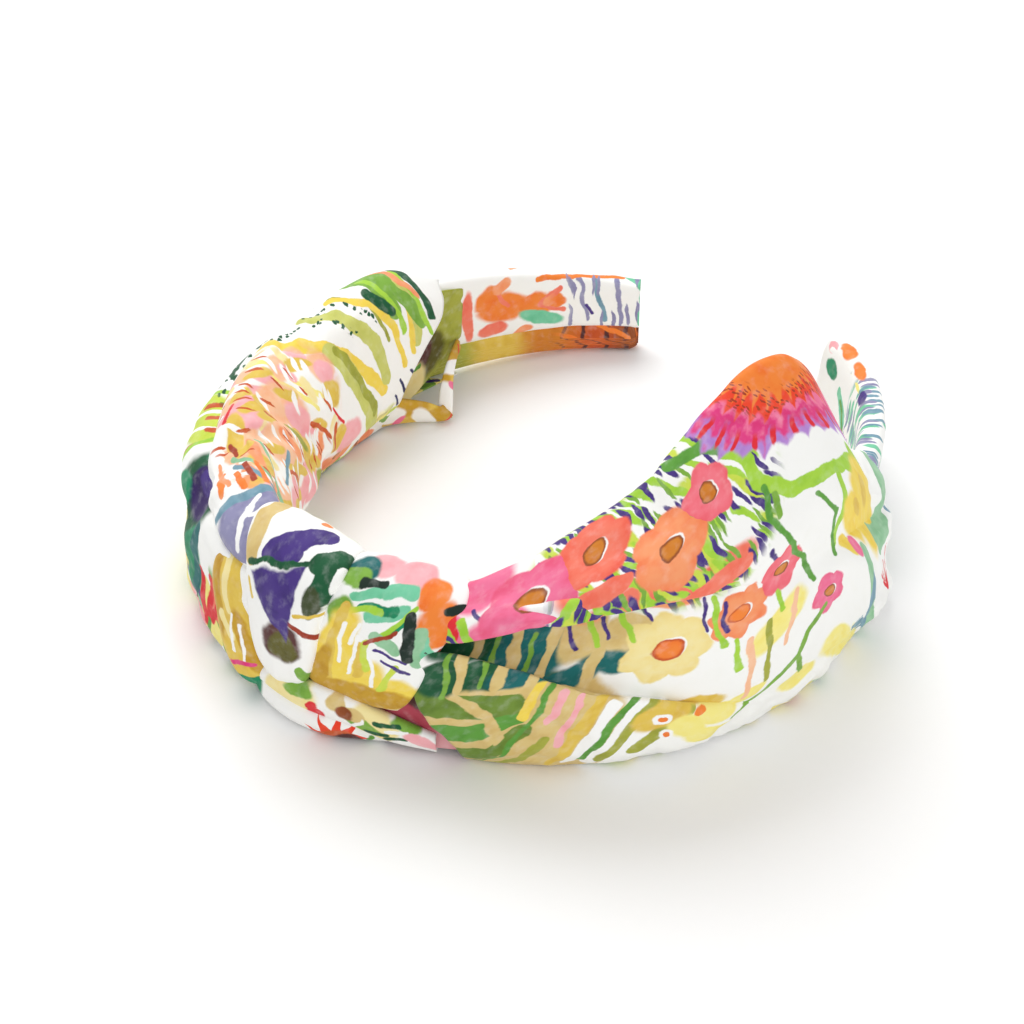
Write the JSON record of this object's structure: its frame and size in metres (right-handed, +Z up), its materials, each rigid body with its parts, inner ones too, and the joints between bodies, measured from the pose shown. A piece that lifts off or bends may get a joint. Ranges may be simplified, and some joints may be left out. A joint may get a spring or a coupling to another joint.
{
  "type": "knotted headband",
  "caption": "Springy plastic hair band in a gathered floral fabric cover with a knot at the crown, open between narrow fabric-covered ends.",
  "frame": {"origin": "middle of the bounding box on the plane that the headband lies on", "axes": "+Z up with the headband lying on its long lower edge, +Y from the crown knot to the tips, +X to the tall flared arm"},
  "size_m": [0.1502, 0.162, 0.0741],
  "materials": {
    "band_plastic": "plain moulded plastic, satin",
    "wadding": "soft white polyester wadding",
    "floral_fabric": "fine smooth cotton with a watercolour floral print on white, near matte",
    "thread": "spun polyester sewing thread"
  },
  "bodies": {
    "crown": {"core_crown": "band_plastic", "crown_wadding": "wadding", "knot_base": "floral_fabric", "knot_tack_thread": "thread", "knot_wrap": "floral_fabric", "knot_flap": "floral_fabric", "knot_lower_band": "floral_fabric"},
    "left_arm": {"core_left_arm": "band_plastic", "left_wadding": "wadding", "left_cover": "floral_fabric", "left_tip_sleeve": "floral_fabric", "left_facing": "floral_fabric", "left_gather_thread": "thread"},
    "right_arm": {"core_right_arm": "band_plastic", "right_wadding": "wadding", "right_cover": "floral_fabric", "right_tip_sleeve": "floral_fabric", "right_facing": "floral_fabric", "right_gather_thread": "thread"}
  },
  "joints": [
    {"name": "left_arm_flex", "type": "hinge", "parent": "crown", "child": "left_arm", "pos_m": [-0.02581, -0.06447, 0.02], "axis": [0, 0, 1], "range_deg": [-3, 12], "stiffness_Nm_per_rad": 1.4},
    {"name": "right_arm_flex", "type": "hinge", "parent": "crown", "child": "right_arm", "pos_m": [0.02364, -0.06447, 0.02], "axis": [0, 0, -1], "range_deg": [-3, 12], "stiffness_Nm_per_rad": 1.4}
  ]
}
